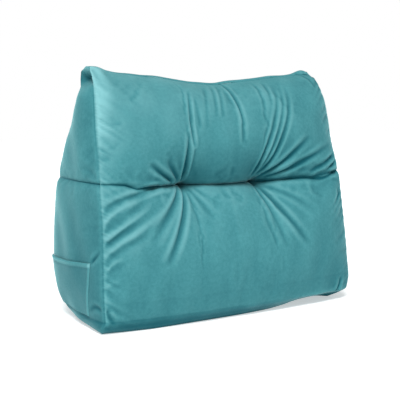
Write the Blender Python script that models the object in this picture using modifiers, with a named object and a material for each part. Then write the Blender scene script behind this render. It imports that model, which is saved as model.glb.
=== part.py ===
"""A wedge-shaped backrest cushion: a front and a back panel, a base and two gussets, sewn and filled.

Two blind tufts pull the front in, a crease joins them and runs on round the sides, and a patch
pocket lies on the left gusset. Metres, +Z up, front towards -Y, resting on Z = 0 with the middle
of its box over the origin.
"""
import bmesh
import bpy
import numpy as np

NAME = "triangle_backrest_cushion"

# Driving sizes
TOP_HEIGHT = 0.514
CREASE_HEIGHT = 0.288
FOOT_SEAM_HEIGHT = 0.024
LOWER_CROWN = 0.041
UPPER_CROWN = 0.046
BACK_CROWN = 0.024
LEFT_GUSSET_BULGE = 0.015
RIGHT_GUSSET_BULGE = 0.015
TOP_ROLL = 0.004

# How a crown falls to its seams: across a panel, and from the middle of a roll to its ends.
CROWN_FLATNESS = 2.6
CROWN_STEEPNESS = 0.6
LOWER_STEEPNESS = 0.5
UPPER_STEEPNESS = 0.68
GUSSET_STEEPNESS = 0.7
SADDLE_FADE = 1.6
CREASE_FADE = 2

# The share of its crown that a panel keeps in the crease. The front's rises towards its sides.
MIDDLE_CREASE_CROWN = 0.22
SIDE_CREASE_CROWN = 0.80
CREASE_CROWN_RISE = 1.5
BACK_CREASE_CROWN = 0.72
GUSSET_CREASE_CROWN = 0.60
CROWN_BLEND = 0.03

# The ear at each end of the top: the gusset is drawn in under it, and its rim stands out.
EAR_HOLLOW = 0.024
EAR_HOLLOW_HEIGHT = 0.491
EAR_HOLLOW_REACH = 0.017
EAR_LIP = 0.006

# The right ear's rim stands above its front edge and leans out, and the right corner of the foot
# is tucked in.
RIGHT_EAR_ROUNDING = 0.004
RIGHT_EAR_SPREAD = 0.005
RIGHT_EAR_RIM = 0.009
RIGHT_EAR_RIM_PLACE = 0.014
RIGHT_EAR_RIM_REACH = 0.022
RIGHT_FOOT_TUCK = 0.012
FOOT_CORNER = 0.050

# The left corner of the foot stands out at the front, less and less towards the back.
LEFT_FOOT_SPREAD = 0.020
LEFT_FOOT_FADE = 0.7

# The outline of a gusset: where its seams with the front and the back lie at each height, and
# half the width between the two gussets there.
SECTION_COLUMNS = ("height", "front_seam", "back_seam", "half_width")
SECTIONS = (
    (0.000, -0.096, 0.028, 0.284),
    (0.010, -0.108, 0.048, 0.298),
    (0.024, -0.116, 0.069, 0.305),
    (0.060, -0.114, 0.104, 0.306),
    (0.110, -0.109, 0.129, 0.305),
    (0.180, -0.102, 0.132, 0.301),
    (0.245, -0.092, 0.126, 0.299),
    (0.276, -0.086, 0.117, 0.298),
    (0.288, -0.083, 0.109, 0.296),
    (0.300, -0.080, 0.107, 0.296),
    (0.350, -0.068, 0.083, 0.293),
    (0.410, -0.053, 0.050, 0.289),
    (0.450, -0.044, 0.032, 0.286),
    (0.468, -0.037, 0.026, 0.284),
    (0.488, -0.026, 0.029, 0.283),
    (0.503, -0.015, 0.028, 0.282),
    (0.514, -0.002, 0.016, 0.275),
)

# How far the top edge dips between the two ears, from the left side (-1) to the right (1).
SADDLE_COLUMNS = ("across", "dip")
SADDLE = (
    (-1.00, 0.000),
    (-0.94, 0.002),
    (-0.86, 0.009),
    (-0.60, 0.019),
    (-0.36, 0.025),
    (0.05, 0.036),
    (0.40, 0.025),
    (0.84, 0.014),
    (0.93, 0.011),
    (1.00, 0.010),
)

# How far the base's front edge lies in front of a straight line between its corners.
FOOT_EDGE_COLUMNS = ("across", "forward")
FOOT_EDGE = (
    (-1.00, 0.004),
    (-0.85, 0.015),
    (-0.65, 0.022),
    (-0.05, 0.021),
    (0.25, 0.015),
    (0.47, 0.000),
    (0.68, -0.022),
    (0.88, -0.030),
    (1.00, -0.012),
)

# How far the front crease hangs below its height at the side seams.
CREASE_COLUMNS = ("across", "sag")
CREASE = (
    (-1.00, 0.000),
    (-0.85, 0.003),
    (-0.74, 0.012),
    (-0.62, 0.011),
    (-0.30, 0.014),
    (0.00, 0.016),
    (0.30, 0.017),
    (0.62, 0.011),
    (0.80, 0.014),
    (1.00, 0.000),
)
CREASE_NOTCH = 0.014
CREASE_NOTCH_HALF_HEIGHT = 0.012
CREASE_NOTCH_HALF_LENGTH = 0.150
CREASE_LINE = 0.005
GUSSET_LINE = 0.004
CREASE_LINE_HALF_HEIGHT = 0.0035

# The tufts: their places on the front, how deep each pulls it in, and how wide the pit is.
TUFT_COLUMNS = ("x", "z", "depth", "radius")
TUFTS = (
    (-0.102, 0.274, 0.048, 0.032),
    (0.080, 0.270, 0.046, 0.032),
)
TUFT_SHARPNESS = 0.9
BACK_DIMPLE_SHARE = 0.3

# The main folds that run from the tufts, in from the side seams and over the top roll, each a
# curve through the middle point, deepest at its start and fading out at its end.
FOLD_COLUMNS = ("x0", "z0", "x1", "z1", "x2", "z2", "depth", "half_width")
FOLDS = (
    (-0.106, 0.290, -0.108, 0.328, -0.106, 0.384, 0.011, 0.009),
    (-0.136, 0.286, -0.169, 0.305, -0.195, 0.325, 0.009, 0.009),
    (-0.125, 0.276, -0.229, 0.265, -0.298, 0.242, 0.009, 0.009),
    (-0.300, 0.196, -0.262, 0.220, -0.200, 0.247, 0.007, 0.009),
    (-0.301, 0.168, -0.250, 0.202, -0.180, 0.240, 0.006, 0.009),
    (-0.120, 0.268, -0.160, 0.229, -0.211, 0.174, 0.008, 0.009),
    (-0.106, 0.264, -0.142, 0.198, -0.180, 0.128, 0.010, 0.009),
    (-0.094, 0.265, -0.092, 0.238, -0.075, 0.205, 0.005, 0.009),
    (0.076, 0.290, 0.104, 0.356, 0.150, 0.455, 0.009, 0.010),
    (0.086, 0.282, 0.135, 0.318, 0.201, 0.368, 0.010, 0.009),
    (0.092, 0.279, 0.162, 0.306, 0.267, 0.348, 0.009, 0.009),
    (0.285, 0.300, 0.252, 0.290, 0.205, 0.280, 0.007, 0.009),
    (0.078, 0.260, 0.083, 0.219, 0.108, 0.138, 0.007, 0.009),
    (0.087, 0.259, 0.111, 0.216, 0.168, 0.139, 0.009, 0.009),
    (0.030, 0.477, 0.029, 0.443, 0.021, 0.353, 0.008, 0.009),
    (-0.096, 0.358, -0.097, 0.415, -0.082, 0.464, 0.006, 0.009),
    (0.101, 0.480, 0.093, 0.446, 0.084, 0.405, 0.004, 0.010),
)
FOLD_STEPS = 9
FOLD_FADE = 0.6
FOLD_MOUTH = 0.35
FOLD_MOUTH_LENGTH = 0.17

# The grid that the surface is cut into.
THIRD_COLUMNS = 14
LOWER_ROWS = 24
UPPER_ROWS = 20
DEEP_COLUMNS = 8
END_CROWDING = 0.5
BOX_FACE = 0.9999
CUT_TOLERANCE = 1e-6

# The patch pocket, low on the left gusset, and the clearance that it keeps.
POCKET_FOOT_FRONT = -0.062
POCKET_MOUTH_FRONT = -0.074
POCKET_BACK_SHARE = 0.955
POCKET_FOOT = 0.028
MOUTH_FRONT_HEIGHT = 0.135
MOUTH_BACK_HEIGHT = 0.123
MOUTH_SAG = 0.005
POCKET_SHEET = 0.002
POCKET_COLUMNS = 16
POCKET_ROWS = 14
CLEARANCE = 0.0003
SLOPE_STEP = 0.0005

VELVET_COLOUR = (0.072, 0.292, 0.313, 1.0)
POCKET_COLOUR = (0.060, 0.255, 0.278, 1.0)
VELVET_ROUGHNESS = 0.85
SEAM_ANGLE = 0.9


def columns(names, rows):
    """The table's columns by name, as arrays."""
    return dict(zip(names, np.array(rows, float).T))


SECTION = columns(SECTION_COLUMNS, SECTIONS)
SADDLE_CURVE = columns(SADDLE_COLUMNS, SADDLE)
CREASE_CURVE = columns(CREASE_COLUMNS, CREASE)
FOOT_CURVE = columns(FOOT_EDGE_COLUMNS, FOOT_EDGE)


def smooth_between(x, places, values):
    """A cubic through the table's values that never swings past them."""
    gaps = np.diff(places)
    rises = np.diff(values)/gaps
    before = 2*gaps[1:] + gaps[:-1]
    after = gaps[1:] + 2*gaps[:-1]
    same_way = rises[:-1]*rises[1:] > 0
    first = np.where(same_way, rises[:-1], 1)
    second = np.where(same_way, rises[1:], 1)
    slopes = np.empty(len(places))
    slopes[0] = rises[0]
    slopes[-1] = rises[-1]
    slopes[1:-1] = np.where(same_way, (before + after)/(before/first + after/second), 0)
    i = np.clip(np.searchsorted(places, x) - 1, 0, len(gaps) - 1)
    t = np.clip((x - places[i])/gaps[i], 0, 1)
    ends = (1 + 2*t)*(1 - t)**2*values[i] + t*t*(3 - 2*t)*values[i + 1]
    bends = t*(1 - t)**2*slopes[i] - t*t*(1 - t)*slopes[i + 1]
    return ends + gaps[i]*bends


def section(height, column):
    return smooth_between(height, SECTION["height"], SECTION[column])


def roll(height):
    """1 at the middle of the lower and of the upper roll, 0 at the foot, the crease and the top."""
    below = height < CREASE_HEIGHT
    lower = height/CREASE_HEIGHT
    upper = (height - CREASE_HEIGHT)/(TOP_HEIGHT - CREASE_HEIGHT)
    share = np.clip(np.where(below, lower, upper), 0, 1)
    steepness = np.where(below, LOWER_STEEPNESS, UPPER_STEEPNESS)
    return np.clip(np.sin(np.pi*share), 0, 1)**steepness


def kept(height, crease_share):
    """A roll's height where the crease keeps a share of the crown, and the foot and top none."""
    near_crease = 1 - np.clip(np.abs(height - CREASE_HEIGHT)/(TOP_HEIGHT - CREASE_HEIGHT), 0, 1)
    share = crease_share*near_crease**0.5
    return share + (1 - share)*roll(height)


def crown_across(across):
    """1 in the middle of a panel, falling steeply to 0 at its side seams."""
    return np.clip(1 - np.abs(across)**CROWN_FLATNESS, 0, 1)**CROWN_STEEPNESS


def lowered(across, height):
    """How far a point lies below its row, for the dip of the top edge and the sag of the crease."""
    upper = np.clip((height - CREASE_HEIGHT)/(TOP_HEIGHT - CREASE_HEIGHT), 0, 1)
    dip = smooth_between(across, SADDLE_CURVE["across"], SADDLE_CURVE["dip"])
    sag = smooth_between(across, CREASE_CURVE["across"], CREASE_CURVE["sag"])
    near_crease = np.where(height < CREASE_HEIGHT, height/CREASE_HEIGHT, 1 - upper)
    return dip*upper**SADDLE_FADE + sag*np.clip(near_crease, 0, 1)**CREASE_FADE


def pits(x, z):
    """How far the tufts pull the front in: a cusp that widens outwards."""
    tuft = columns(TUFT_COLUMNS, TUFTS)
    distance = np.hypot(x[:, None] - tuft["x"], z[:, None] - tuft["z"])
    return (tuft["depth"]*np.exp(-(distance/tuft["radius"])**TUFT_SHARPNESS)).max(axis=1)


def crease_line(height):
    """1 on the crease itself, falling off within a few millimetres."""
    return np.exp(-np.abs(height - CREASE_HEIGHT)/CREASE_LINE_HALF_HEIGHT)


def notch(x, height):
    """A wide cusp between the tufts, and the thin line that runs on to the side seams."""
    away = np.abs(height - CREASE_HEIGHT)
    along = np.exp(-(x/CREASE_NOTCH_HALF_LENGTH)**4)
    wide = CREASE_NOTCH*along*np.exp(-away/CREASE_NOTCH_HALF_HEIGHT)
    return wide + CREASE_LINE*crease_line(height)


def folds(x, z):
    """Soft troughs along the curves of the fold table."""
    fold = columns(FOLD_COLUMNS, FOLDS)
    t = np.linspace(0, 1, FOLD_STEPS)[:, None]
    start, middle, end = 2*(t - 0.5)*(t - 1), 4*t*(1 - t), 2*t*(t - 0.5)
    curve_x = start*fold["x0"] + middle*fold["x1"] + end*fold["x2"]
    curve_z = start*fold["z0"] + middle*fold["z1"] + end*fold["z2"]
    distance = np.hypot(x[:, None, None] - curve_x, z[:, None, None] - curve_z)
    fade = (1 - t)**FOLD_FADE*(FOLD_MOUTH + (1 - FOLD_MOUTH)*np.clip(t/FOLD_MOUTH_LENGTH, 0, 1))
    depth = fold["depth"]*fade*np.exp(-(distance/fold["half_width"])**2)
    return depth.max(axis=1).sum(axis=1)


def foot_edge(across, height):
    """How far the front panel's foot stands forward, less and less up to the foot seam."""
    forward = smooth_between(across, FOOT_CURVE["across"], FOOT_CURVE["forward"])
    return forward*np.clip(1 - height/FOOT_SEAM_HEIGHT, 0, 1)


def front_panel(across, height):
    """Y of the front panel."""
    x = across*section(height, "half_width")
    z = height - lowered(across, height)
    above_foot = np.clip(height/FOOT_SEAM_HEIGHT, 0, 1)
    to_sides = np.abs(across)**CREASE_CROWN_RISE
    share = MIDDLE_CREASE_CROWN + (SIDE_CREASE_CROWN - MIDDLE_CREASE_CROWN)*to_sides
    above_crease = np.clip(height - CREASE_HEIGHT, 0, None)
    most = LOWER_CROWN + (UPPER_CROWN - LOWER_CROWN)*(1 - np.exp(-above_crease/CROWN_BLEND))
    crown = most*crown_across(across)*kept(height, share)
    pulled_in = pits(x, z) + notch(x, height) + folds(x, z)*crown_across(across)
    seam = section(height, "front_seam") - foot_edge(across, height)
    return seam + (pulled_in - crown)*above_foot


def back_panel(across, height):
    """Y of the back panel, with a shallow crease and dimple behind each tuft."""
    x = across*section(height, "half_width")
    z = height - lowered(across, height)
    above_foot = np.clip(height/FOOT_SEAM_HEIGHT, 0, 1)
    crown = BACK_CROWN*crown_across(across)*kept(height, BACK_CREASE_CROWN)
    return section(height, "back_seam") + (crown - BACK_DIMPLE_SHARE*pits(x, z))*above_foot


def gusset_bulge(side, deep, height):
    """How far a gusset stands out past its seams: two rolls, and a lip over the ear's hollow."""
    hollow = EAR_HOLLOW*np.exp(-((height - EAR_HOLLOW_HEIGHT)/EAR_HOLLOW_REACH)**2)
    above_hollow = (height - EAR_HOLLOW_HEIGHT)/(TOP_HEIGHT - EAR_HOLLOW_HEIGHT)
    lip = EAR_LIP*np.clip(above_hollow, 0, 1)
    most = np.where(side < 0, LEFT_GUSSET_BULGE, RIGHT_GUSSET_BULGE)
    between_seams = np.clip(1 - deep**2, 0, 1)**GUSSET_STEEPNESS
    line = GUSSET_LINE*crease_line(height)*(1 - deep)/2
    return between_seams*(most*kept(height, GUSSET_CREASE_CROWN) + lip - hollow) - line


def moved_corners(across, deep, height):
    """How far the right ear and the foot's two corners move to the right, and the ear upwards."""
    back_share = np.clip((deep + 1)/2, 0, 1)
    near = np.clip(across, 0, 1)
    in_ear = np.clip((height - EAR_HOLLOW_HEIGHT)/(TOP_HEIGHT - EAR_HOLLOW_HEIGHT), 0, 1)
    in_foot = np.clip(1 - height/FOOT_CORNER, 0, 1)*near**10
    spread_out = RIGHT_EAR_SPREAD*back_share*in_ear
    rounded_off = RIGHT_EAR_ROUNDING*(1 - back_share)*in_ear**2
    to_right = (1 - across)*section(height, "half_width")
    rim = RIGHT_EAR_RIM*np.exp(-((to_right - RIGHT_EAR_RIM_PLACE)/RIGHT_EAR_RIM_REACH)**2)
    at_left = np.clip(-across, 0, 1)**10*np.clip(1 - height/FOOT_SEAM_HEIGHT, 0, 1)
    spread_left = LEFT_FOOT_SPREAD*at_left*(1 - back_share)**LEFT_FOOT_FADE
    moved_right = (spread_out - rounded_off)*near**4 - RIGHT_FOOT_TUCK*in_foot - spread_left
    moved_up = rim*in_ear*np.sin(np.pi/2*back_share)**0.7
    return moved_right, moved_up


def cushion_surface(box):
    """Carries points of a box, each side from -1 to 1, to the cushion's skin."""
    across, deep, up = box.T
    height = TOP_HEIGHT*(up + 1)/2
    front = front_panel(across, height)
    back = back_panel(across, height)
    on_gusset = np.abs(across) > BOX_FACE
    on_top = up > BOX_FACE
    bulge = np.where(on_gusset, np.sign(across)*gusset_bulge(across, deep, height), 0)
    top = np.where(on_top, TOP_ROLL*(1 - deep**2)*crown_across(across), 0)
    moved_right, moved_up = moved_corners(across, deep, height)
    x = across*section(height, "half_width") + bulge + moved_right
    y = front + (back - front)*(deep + 1)/2
    z = height - lowered(across, height) + top + moved_up
    return np.stack([x, y, z], axis=1)


def crowded(start, end, count):
    """Places from start to end that lie closer together near both ends."""
    t = np.linspace(0, 1, count + 1)
    t = (1 - END_CROWDING)*t + END_CROWDING*(1 - np.cos(np.pi*t))/2
    return start + (end - start)*t


def grid_lines():
    """The places of the grid lines across, deep and up, in the box's -1 to 1."""
    tufts = [row[0]/section(np.array([row[1]]), "half_width")[0] for row in TUFTS]
    stops = [-1.0, *tufts, 1.0]
    across = [crowded(a, b, THIRD_COLUMNS)[:-1] for a, b in zip(stops, stops[1:])]
    crease = 2*CREASE_HEIGHT/TOP_HEIGHT - 1
    up = [crowded(-1, crease, LOWER_ROWS)[:-1], crowded(crease, 1, UPPER_ROWS)]
    return np.append(np.concatenate(across), 1.0), crowded(-1, 1, DEEP_COLUMNS), np.concatenate(up)


def cut_box(lines):
    """A box from -1 to 1, cut along each grid line."""
    box = bmesh.new()
    bmesh.ops.create_cube(box, size=2)
    for axis, places in enumerate(lines):
        normal = np.eye(3)[axis]
        for place in places[1:-1]:
            parts = box.verts[:] + box.edges[:] + box.faces[:]
            bmesh.ops.bisect_plane(
                box, geom=parts, dist=CUT_TOLERANCE, plane_co=normal*place, plane_no=normal
            )
    return box


def move_points(mesh, carry):
    """Moves a mesh's points to where carry puts them."""
    points = np.empty(len(mesh.vertices)*3, np.float32)
    mesh.vertices.foreach_get("co", points)
    places = carry(points.reshape(-1, 3).astype(float))
    mesh.vertices.foreach_set("co", places.astype(np.float32).ravel())
    mesh.update()


def velvet(name, colour):
    material = bpy.data.materials.new(name)
    material.use_nodes = True
    shader = material.node_tree.nodes["Principled BSDF"]
    shader.inputs["Base Color"].default_value = colour
    shader.inputs["Roughness"].default_value = VELVET_ROUGHNESS
    shader.inputs["Metallic"].default_value = 0.0
    return material


def add_node(collection, name, shape, material):
    """Puts a shape into the collection as an object of its own."""
    mesh = bpy.data.meshes.new(name)
    shape.to_mesh(mesh)
    shape.free()
    mesh.materials.append(material)
    mesh.shade_smooth()
    node = bpy.data.objects.new(name, mesh)
    collection.objects.link(node)
    return node


def make_cushion(collection):
    """The filled body, with its seams left sharp."""
    node = add_node(collection, "cushion", cut_box(grid_lines()), velvet("body_velvet", VELVET_COLOUR))
    move_points(node.data, cushion_surface)
    node.data.set_sharp_from_angle(angle=SEAM_ANGLE)
    return node


def gusset_point(y, z):
    """A point of the left gusset at a given depth and height."""
    front = section(z, "front_seam")
    back = section(z, "back_seam")
    deep = 2*(y - front)/(back - front) - 1
    return np.stack([-section(z, "half_width") - gusset_bulge(-1.0, deep, z), y, z], axis=1)


def pocket_surface(sheet):
    """Carries a flat sheet, each side from -1 to 1, onto the gusset, one clearance off it."""
    along = (sheet[:, 0] + 1)/2
    rise = (sheet[:, 1] + 1)/2
    mouth = MOUTH_FRONT_HEIGHT + (MOUTH_BACK_HEIGHT - MOUTH_FRONT_HEIGHT)*along
    mouth = mouth - MOUTH_SAG*np.sin(np.pi*along)
    z = POCKET_FOOT + (mouth - POCKET_FOOT)*rise
    seam = section(z, "front_seam")
    back = seam + (section(z, "back_seam") - seam)*(1 + POCKET_BACK_SHARE)/2
    front = POCKET_FOOT_FRONT + (POCKET_MOUTH_FRONT - POCKET_FOOT_FRONT)*rise
    y = front + (back - front)*np.sin(np.pi*along/2)
    slope_y = gusset_point(y + SLOPE_STEP, z) - gusset_point(y - SLOPE_STEP, z)
    slope_z = gusset_point(y, z + SLOPE_STEP) - gusset_point(y, z - SLOPE_STEP)
    outwards = np.cross(slope_y, slope_z)
    outwards = outwards/np.linalg.norm(outwards, axis=1)[:, None]
    outwards = outwards*np.sign(-outwards[:, :1])
    return gusset_point(y, z) + CLEARANCE*outwards


def make_pocket(collection):
    """The patch pocket: one thin sheet that follows the gusset, lying flat and closed on it."""
    sheet = bmesh.new()
    bmesh.ops.create_grid(sheet, x_segments=POCKET_COLUMNS, y_segments=POCKET_ROWS, size=1)
    node = add_node(collection, "pocket", sheet, velvet("pocket_velvet", POCKET_COLOUR))
    move_points(node.data, pocket_surface)
    node.data.flip_normals()
    wall = node.modifiers.new("sheet", "SOLIDIFY")
    wall.thickness = POCKET_SHEET
    wall.offset = 1.0
    wall.use_even_offset = True
    return node


def centre(nodes):
    """Moves the nodes together, so that the middle of their box lies over the origin."""
    bpy.context.view_layer.update()
    graph = bpy.context.evaluated_depsgraph_get()
    corners = np.concatenate([np.array(node.evaluated_get(graph).bound_box) for node in nodes])
    middle = (corners.min(axis=0) + corners.max(axis=0))/2
    for node in nodes:
        move_points(node.data, lambda points: points - [middle[0], middle[1], 0])


def main():
    for old in list(bpy.data.objects):
        bpy.data.objects.remove(old, do_unlink=True)
    collection = bpy.data.collections.new(NAME)
    bpy.context.scene.collection.children.link(collection)
    centre([make_cushion(collection), make_pocket(collection)])


main()
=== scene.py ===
# %% [markdown]
# A triangle backrest cushion in teal velvet.
# On the real object five panels are cut from one cloth: a front, a back, a base and two gussets.
# They are sewn at their edges, filled, and pulled in by two blind tufts. A patch pocket is sewn
# on the left gusset.
# This file dresses the plain solids of that cushion. It takes their frame first, so that every
# piece lands where the solids say.

# %% The frame
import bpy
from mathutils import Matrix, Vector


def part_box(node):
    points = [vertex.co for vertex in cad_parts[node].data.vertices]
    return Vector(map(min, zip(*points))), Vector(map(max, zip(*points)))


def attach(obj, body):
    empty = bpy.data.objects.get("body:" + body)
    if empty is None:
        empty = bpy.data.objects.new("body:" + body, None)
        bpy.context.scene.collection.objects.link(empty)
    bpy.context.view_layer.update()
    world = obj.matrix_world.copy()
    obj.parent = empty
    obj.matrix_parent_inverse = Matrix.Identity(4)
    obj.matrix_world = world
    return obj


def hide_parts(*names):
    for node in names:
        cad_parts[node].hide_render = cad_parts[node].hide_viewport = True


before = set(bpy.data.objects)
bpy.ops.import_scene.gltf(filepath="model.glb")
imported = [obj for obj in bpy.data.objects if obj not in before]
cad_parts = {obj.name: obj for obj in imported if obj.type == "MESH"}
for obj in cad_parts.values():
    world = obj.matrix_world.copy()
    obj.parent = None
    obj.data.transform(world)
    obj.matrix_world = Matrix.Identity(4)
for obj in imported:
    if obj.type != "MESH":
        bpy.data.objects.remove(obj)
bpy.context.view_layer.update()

from types import SimpleNamespace

import bpy
import numpy as np
from mathutils import Vector

body_low, body_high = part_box("cushion")
print("nodes to dress:", sorted(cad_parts))
print("the body's box in mm:", [round(1000*side) for side in body_high - body_low])

# %% [markdown]
# The outline of a gusset sets the whole form: two seams climb towards each other, the back one
# over a well-rounded heel. It could be drawn as a curve and swept, but a table of heights is
# easier to read against the real thing. A row gives the two seams and half the width between
# the gussets at one height. Three more tables run from the left side at -1 to the right at 1: the
# dip of the top edge, the sag of the crease, and how far the base's front edge stands forward.

# %% The outline tables, in metres
TOP_HEIGHT = 0.514
CREASE_HEIGHT = 0.288
FOOT_SEAM_HEIGHT = 0.024
SECTION_COLUMNS = ("height", "front_seam", "back_seam", "half_width")
SECTIONS = (
    (0.000, -0.096, 0.028, 0.284),
    (0.010, -0.108, 0.048, 0.298),
    (0.024, -0.116, 0.069, 0.305),
    (0.060, -0.114, 0.104, 0.306),
    (0.110, -0.109, 0.129, 0.305),
    (0.180, -0.102, 0.132, 0.301),
    (0.245, -0.092, 0.126, 0.299),
    (0.276, -0.086, 0.117, 0.298),
    (0.288, -0.083, 0.109, 0.296),
    (0.300, -0.080, 0.107, 0.296),
    (0.350, -0.068, 0.083, 0.293),
    (0.410, -0.053, 0.050, 0.289),
    (0.450, -0.044, 0.032, 0.286),
    (0.468, -0.037, 0.026, 0.284),
    (0.488, -0.026, 0.029, 0.283),
    (0.503, -0.015, 0.028, 0.282),
    (0.514, -0.002, 0.016, 0.275),
)
SADDLE = (
    (-1.00, 0.000),
    (-0.94, 0.002),
    (-0.86, 0.009),
    (-0.60, 0.019),
    (-0.36, 0.025),
    (0.05, 0.036),
    (0.40, 0.025),
    (0.84, 0.014),
    (0.93, 0.011),
    (1.00, 0.010),
)
CREASE = (
    (-1.00, 0.000),
    (-0.85, 0.003),
    (-0.74, 0.012),
    (-0.62, 0.011),
    (-0.30, 0.014),
    (0.00, 0.016),
    (0.30, 0.017),
    (0.62, 0.011),
    (0.80, 0.014),
    (1.00, 0.000),
)
FOOT_EDGE = (
    (-1.00, 0.004),
    (-0.85, 0.015),
    (-0.65, 0.022),
    (-0.05, 0.021),
    (0.25, 0.015),
    (0.47, 0.000),
    (0.68, -0.022),
    (0.88, -0.030),
    (1.00, -0.012),
)


def columns(names, rows):
    """The table's columns by name, as arrays."""
    return dict(zip(names, np.array(rows, float).T))


SECTION = columns(SECTION_COLUMNS, SECTIONS)
print("gusset outline:", len(SECTIONS), "heights; top edge:", len(SADDLE), "places across")

# %% [markdown]
# Between the rows the outline has to run smoothly, with no ripple of its own. A plain spline
# swings past its points where they change direction. This cubic gives each point the harmonic
# mean of the slopes beside it, and none where they disagree, so it never overshoots.

# %% A smooth curve through a table


def smooth_between(x, places, values):
    """A cubic on each gap, whose slope at a row is the weighted harmonic mean of its two rises."""
    gaps = np.diff(places)
    rises = np.diff(values)/gaps
    before = 2*gaps[1:] + gaps[:-1]
    after = gaps[1:] + 2*gaps[:-1]
    same_way = rises[:-1]*rises[1:] > 0
    first = np.where(same_way, rises[:-1], 1)
    second = np.where(same_way, rises[1:], 1)
    slopes = np.empty(len(places))
    slopes[0] = rises[0]
    slopes[-1] = rises[-1]
    slopes[1:-1] = np.where(same_way, (before + after)/(before/first + after/second), 0)
    i = np.clip(np.searchsorted(places, x) - 1, 0, len(gaps) - 1)
    t = np.clip((x - places[i])/gaps[i], 0, 1)
    ends = (1 + 2*t)*(1 - t)**2*values[i] + t*t*(3 - 2*t)*values[i + 1]
    bends = t*(1 - t)**2*slopes[i] - t*t*(1 - t)*slopes[i + 1]
    return ends + gaps[i]*bends


def section(height, column):
    """The outline table's column at each height."""
    return smooth_between(height, SECTION["height"], SECTION[column])


def curve_across(across, rows):
    """What a table that runs from the left side to the right gives at each place."""
    return smooth_between(across, *np.array(rows).T)


def rising(value, low, high):
    """0 up to low, 1 from high on, and even between."""
    return np.clip((value - low)/(high - low), 0, 1)


depth_at_foot = section(FOOT_SEAM_HEIGHT, "back_seam") - section(FOOT_SEAM_HEIGHT, "front_seam")
print("depth at the foot seam in mm:", round(1000*float(depth_at_foot)))

# %% [markdown]
# A filled panel stands proud of its seams. It rises steeply beside the stitching and is nearly
# flat in the middle. The crease parts the front into a lower and an upper roll, so the crown is
# a product: one profile across the panel, and one with two humps up it.

# %% Crowns and rolls
LOWER_CROWN = 0.041
UPPER_CROWN = 0.046
BACK_CROWN = 0.024
CROWN_FLATNESS = 2.6
CROWN_STEEPNESS = 0.6
LOWER_STEEPNESS = 0.5
UPPER_STEEPNESS = 0.68
MIDDLE_CREASE_CROWN = 0.22
SIDE_CREASE_CROWN = 0.80
CREASE_CROWN_RISE = 1.5
BACK_CREASE_CROWN = 0.72
CREASE_SPREAD = 0.5
CROWN_BLEND = 0.03
BACK_LINE = 0.003
SADDLE_FADE = 1.6
CREASE_FADE = 2


def roll(height):
    """A sine to a power: 1 at the middle of each roll, 0 at the foot, the crease and the top."""
    below = height < CREASE_HEIGHT
    lower = height/CREASE_HEIGHT
    upper = (height - CREASE_HEIGHT)/(TOP_HEIGHT - CREASE_HEIGHT)
    share = np.clip(np.where(below, lower, upper), 0, 1)
    steepness = np.where(below, LOWER_STEEPNESS, UPPER_STEEPNESS)
    return np.clip(np.sin(np.pi*share), 0, 1)**steepness


def kept(height, crease_share):
    """A roll's height where the crease keeps a share of the crown, and the foot and top none."""
    near_crease = 1 - np.clip(np.abs(height - CREASE_HEIGHT)/(TOP_HEIGHT - CREASE_HEIGHT), 0, 1)
    share = crease_share*near_crease**CREASE_SPREAD
    return share + (1 - share)*roll(height)


def crown_across(across):
    """One minus a power of the distance from the middle, to a power: 1 inside, 0 at the seams."""
    return np.clip(1 - np.abs(across)**CROWN_FLATNESS, 0, 1)**CROWN_STEEPNESS


def lowered(across, height):
    """The dip of the top edge, fading downwards, plus the crease's sag, fading both ways."""
    upper = rising(height, CREASE_HEIGHT, TOP_HEIGHT)
    dip, sag = curve_across(across, SADDLE), curve_across(across, CREASE)
    near_crease = np.where(height < CREASE_HEIGHT, height/CREASE_HEIGHT, 1 - upper)
    return dip*upper**SADDLE_FADE + sag*np.clip(near_crease, 0, 1)**CREASE_FADE


print("front crown in mm:", round(1000*LOWER_CROWN), "and", round(1000*UPPER_CROWN))

# %% [markdown]
# A blind tuft is a loop of strong thread through the filling. It pulls the cloth into a pit with
# no button, and the pit's walls grow steeper towards its middle. An exponential of the distance
# does that. The crease between the tufts is the same cusp, drawn out into a line.

# %% The tufts and the crease
TUFT_COLUMNS = ("x", "z", "depth", "radius")
TUFTS = (
    (-0.102, 0.274, 0.048, 0.032),
    (0.080, 0.270, 0.046, 0.032),
)
TUFT_SHARPNESS = 0.9
STITCH_DEPTH = 0.009
STITCH_RADIUS = 0.0065
BACK_DIMPLE_SHARE = 0.3
CREASE_NOTCH = 0.014
CREASE_NOTCH_HALF_HEIGHT = 0.012
CREASE_NOTCH_HALF_LENGTH = 0.150
CREASE_NOTCH_FLATNESS = 4
CREASE_LINE = 0.005
CREASE_LINE_HALF_HEIGHT = 0.0035
GUSSET_LINE = 0.004


def pits(x, z):
    """Each tuft's depth, times e to the minus distance over radius to a power just under one."""
    tuft = columns(TUFT_COLUMNS, TUFTS)
    distance = np.hypot(x[:, None] - tuft["x"], z[:, None] - tuft["z"])
    pulled = tuft["depth"]*np.exp(-(distance/tuft["radius"])**TUFT_SHARPNESS)
    return (pulled + STITCH_DEPTH*np.exp(-(distance/STITCH_RADIUS)**2)).max(axis=1)


def from_tufts(points):
    """Each point's distance from the nearer tuft, seen from the front."""
    tuft = columns(TUFT_COLUMNS, TUFTS)
    return np.hypot(points[:, :1] - tuft["x"], points[:, 2:] - tuft["z"]).min(axis=1)


def crease_line(height):
    """1 on the crease's own line, falling off within a few millimetres."""
    return np.exp(-np.abs(height - CREASE_HEIGHT)/CREASE_LINE_HALF_HEIGHT)


def notch(x, height):
    """A wide cusp between the tufts, plus the narrow line that runs on to the side seams."""
    away = np.abs(height - CREASE_HEIGHT)
    along = np.exp(-(x/CREASE_NOTCH_HALF_LENGTH)**CREASE_NOTCH_FLATNESS)
    wide = CREASE_NOTCH*along*np.exp(-away/CREASE_NOTCH_HALF_HEIGHT)
    return wide + CREASE_LINE*crease_line(height)


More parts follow.
